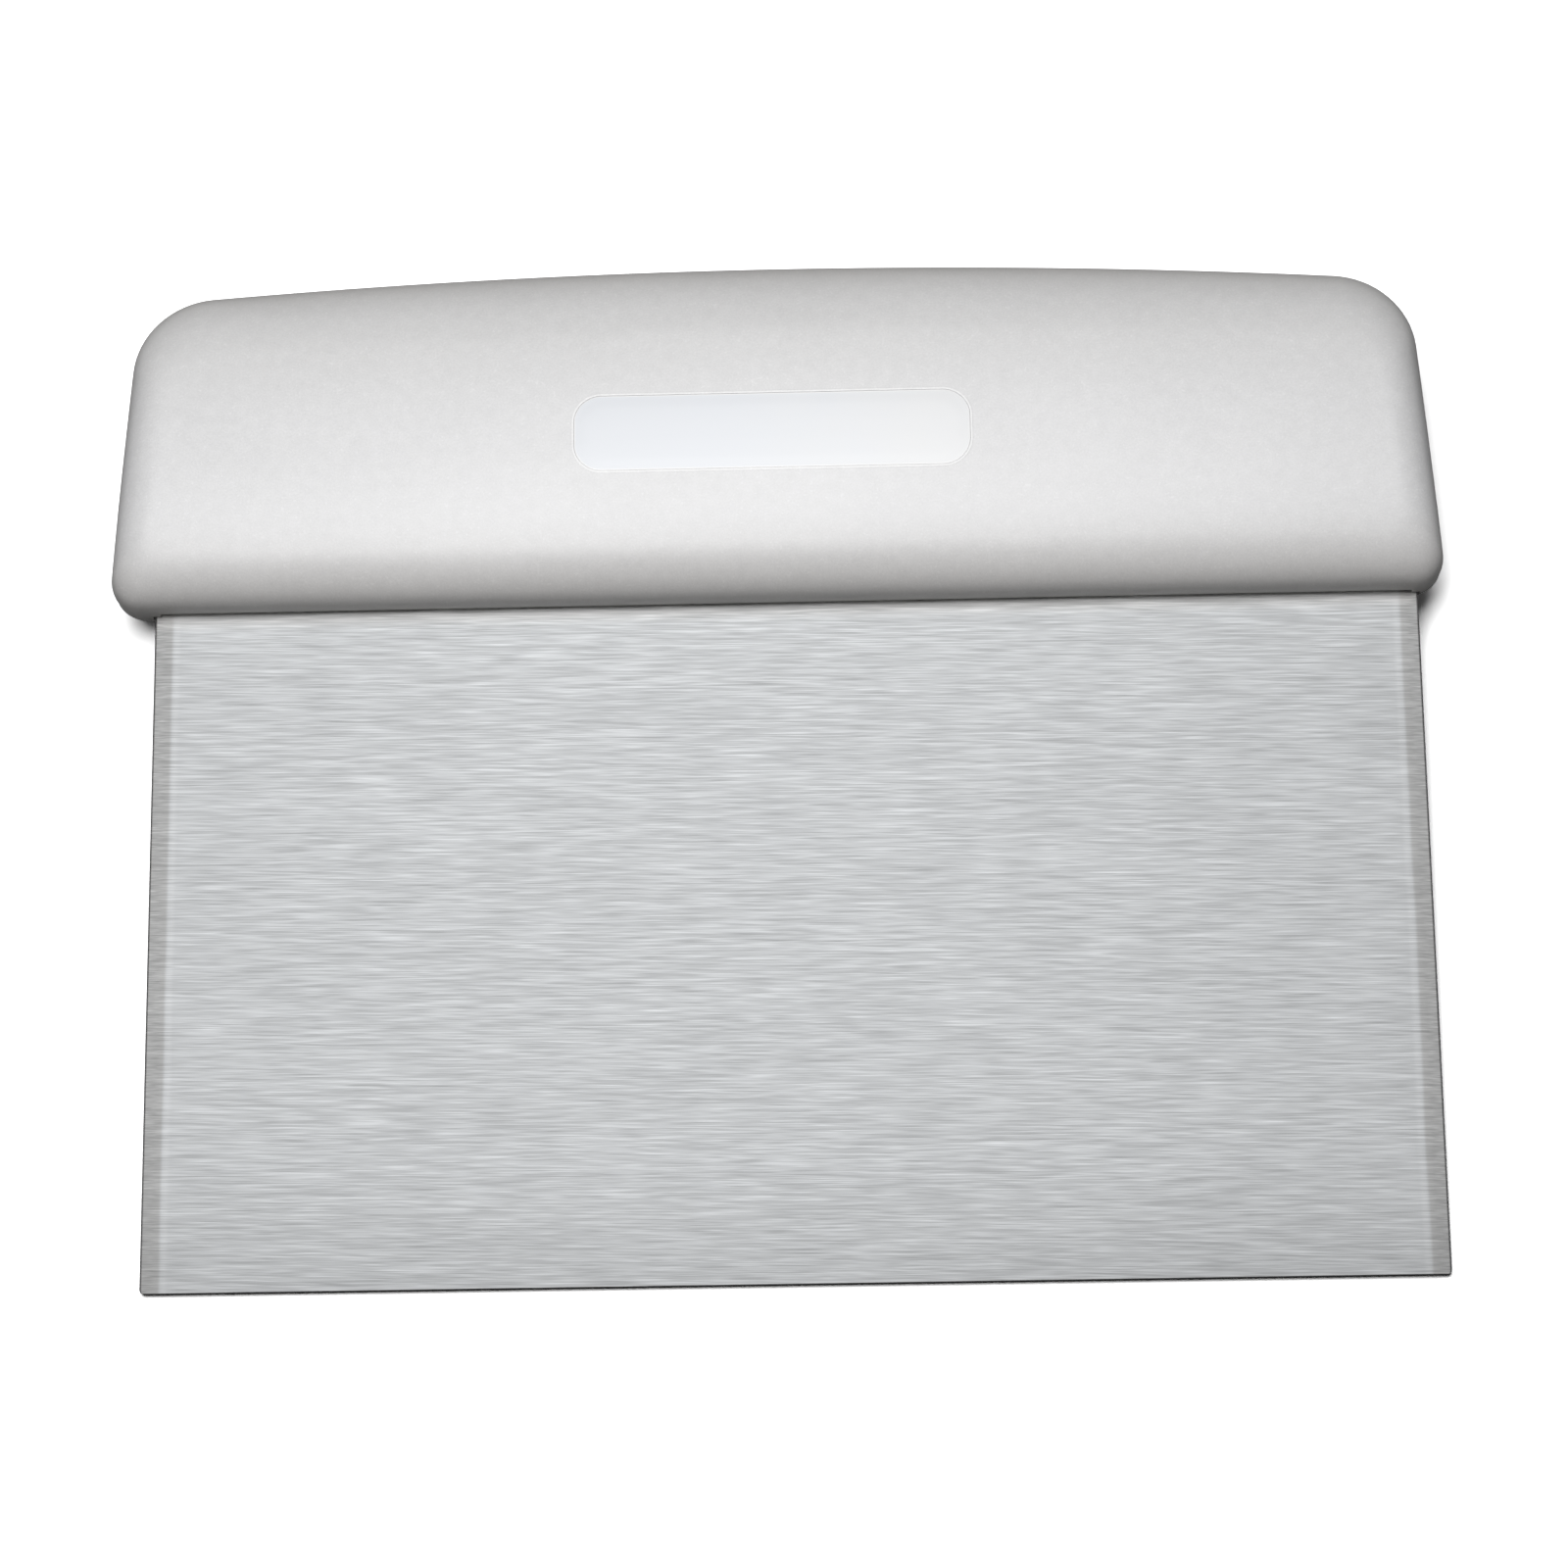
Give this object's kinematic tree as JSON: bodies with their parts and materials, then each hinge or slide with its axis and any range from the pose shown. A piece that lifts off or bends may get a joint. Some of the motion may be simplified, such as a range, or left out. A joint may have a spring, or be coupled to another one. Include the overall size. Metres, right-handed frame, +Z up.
{
  "type": "dough scraper",
  "caption": "Bench scraper lying on its back: wide flat stainless blade with a straight edge, tang held in a low rounded white plastic handle with a bare inlaid label plate.",
  "frame": {"origin": "centre of the bounding box at its base: the surface that the scraper lies on, with the blade's edge and the handle's back both touching it", "axes": "+X along the scraping edge, to the right as seen from the front; +Y from the scraping edge towards the handle; +Z up, out of the front of the blade, which leans 5 degrees down towards its edge"},
  "size_m": [0.1602, 0.124, 0.019],
  "materials": {
    "blade_steel": "stainless, fine straight grain across the blade, parallel to the scraping edge",
    "handle_plastic": "white moulded polypropylene with a fine even texture",
    "label_gloss": "smooth glossy white with a slight blue cast, bare"
  },
  "bodies": {
    "root": {"blade": "blade_steel", "handle": "handle_plastic", "label_plate": "label_gloss"}
  },
  "joints": []
}
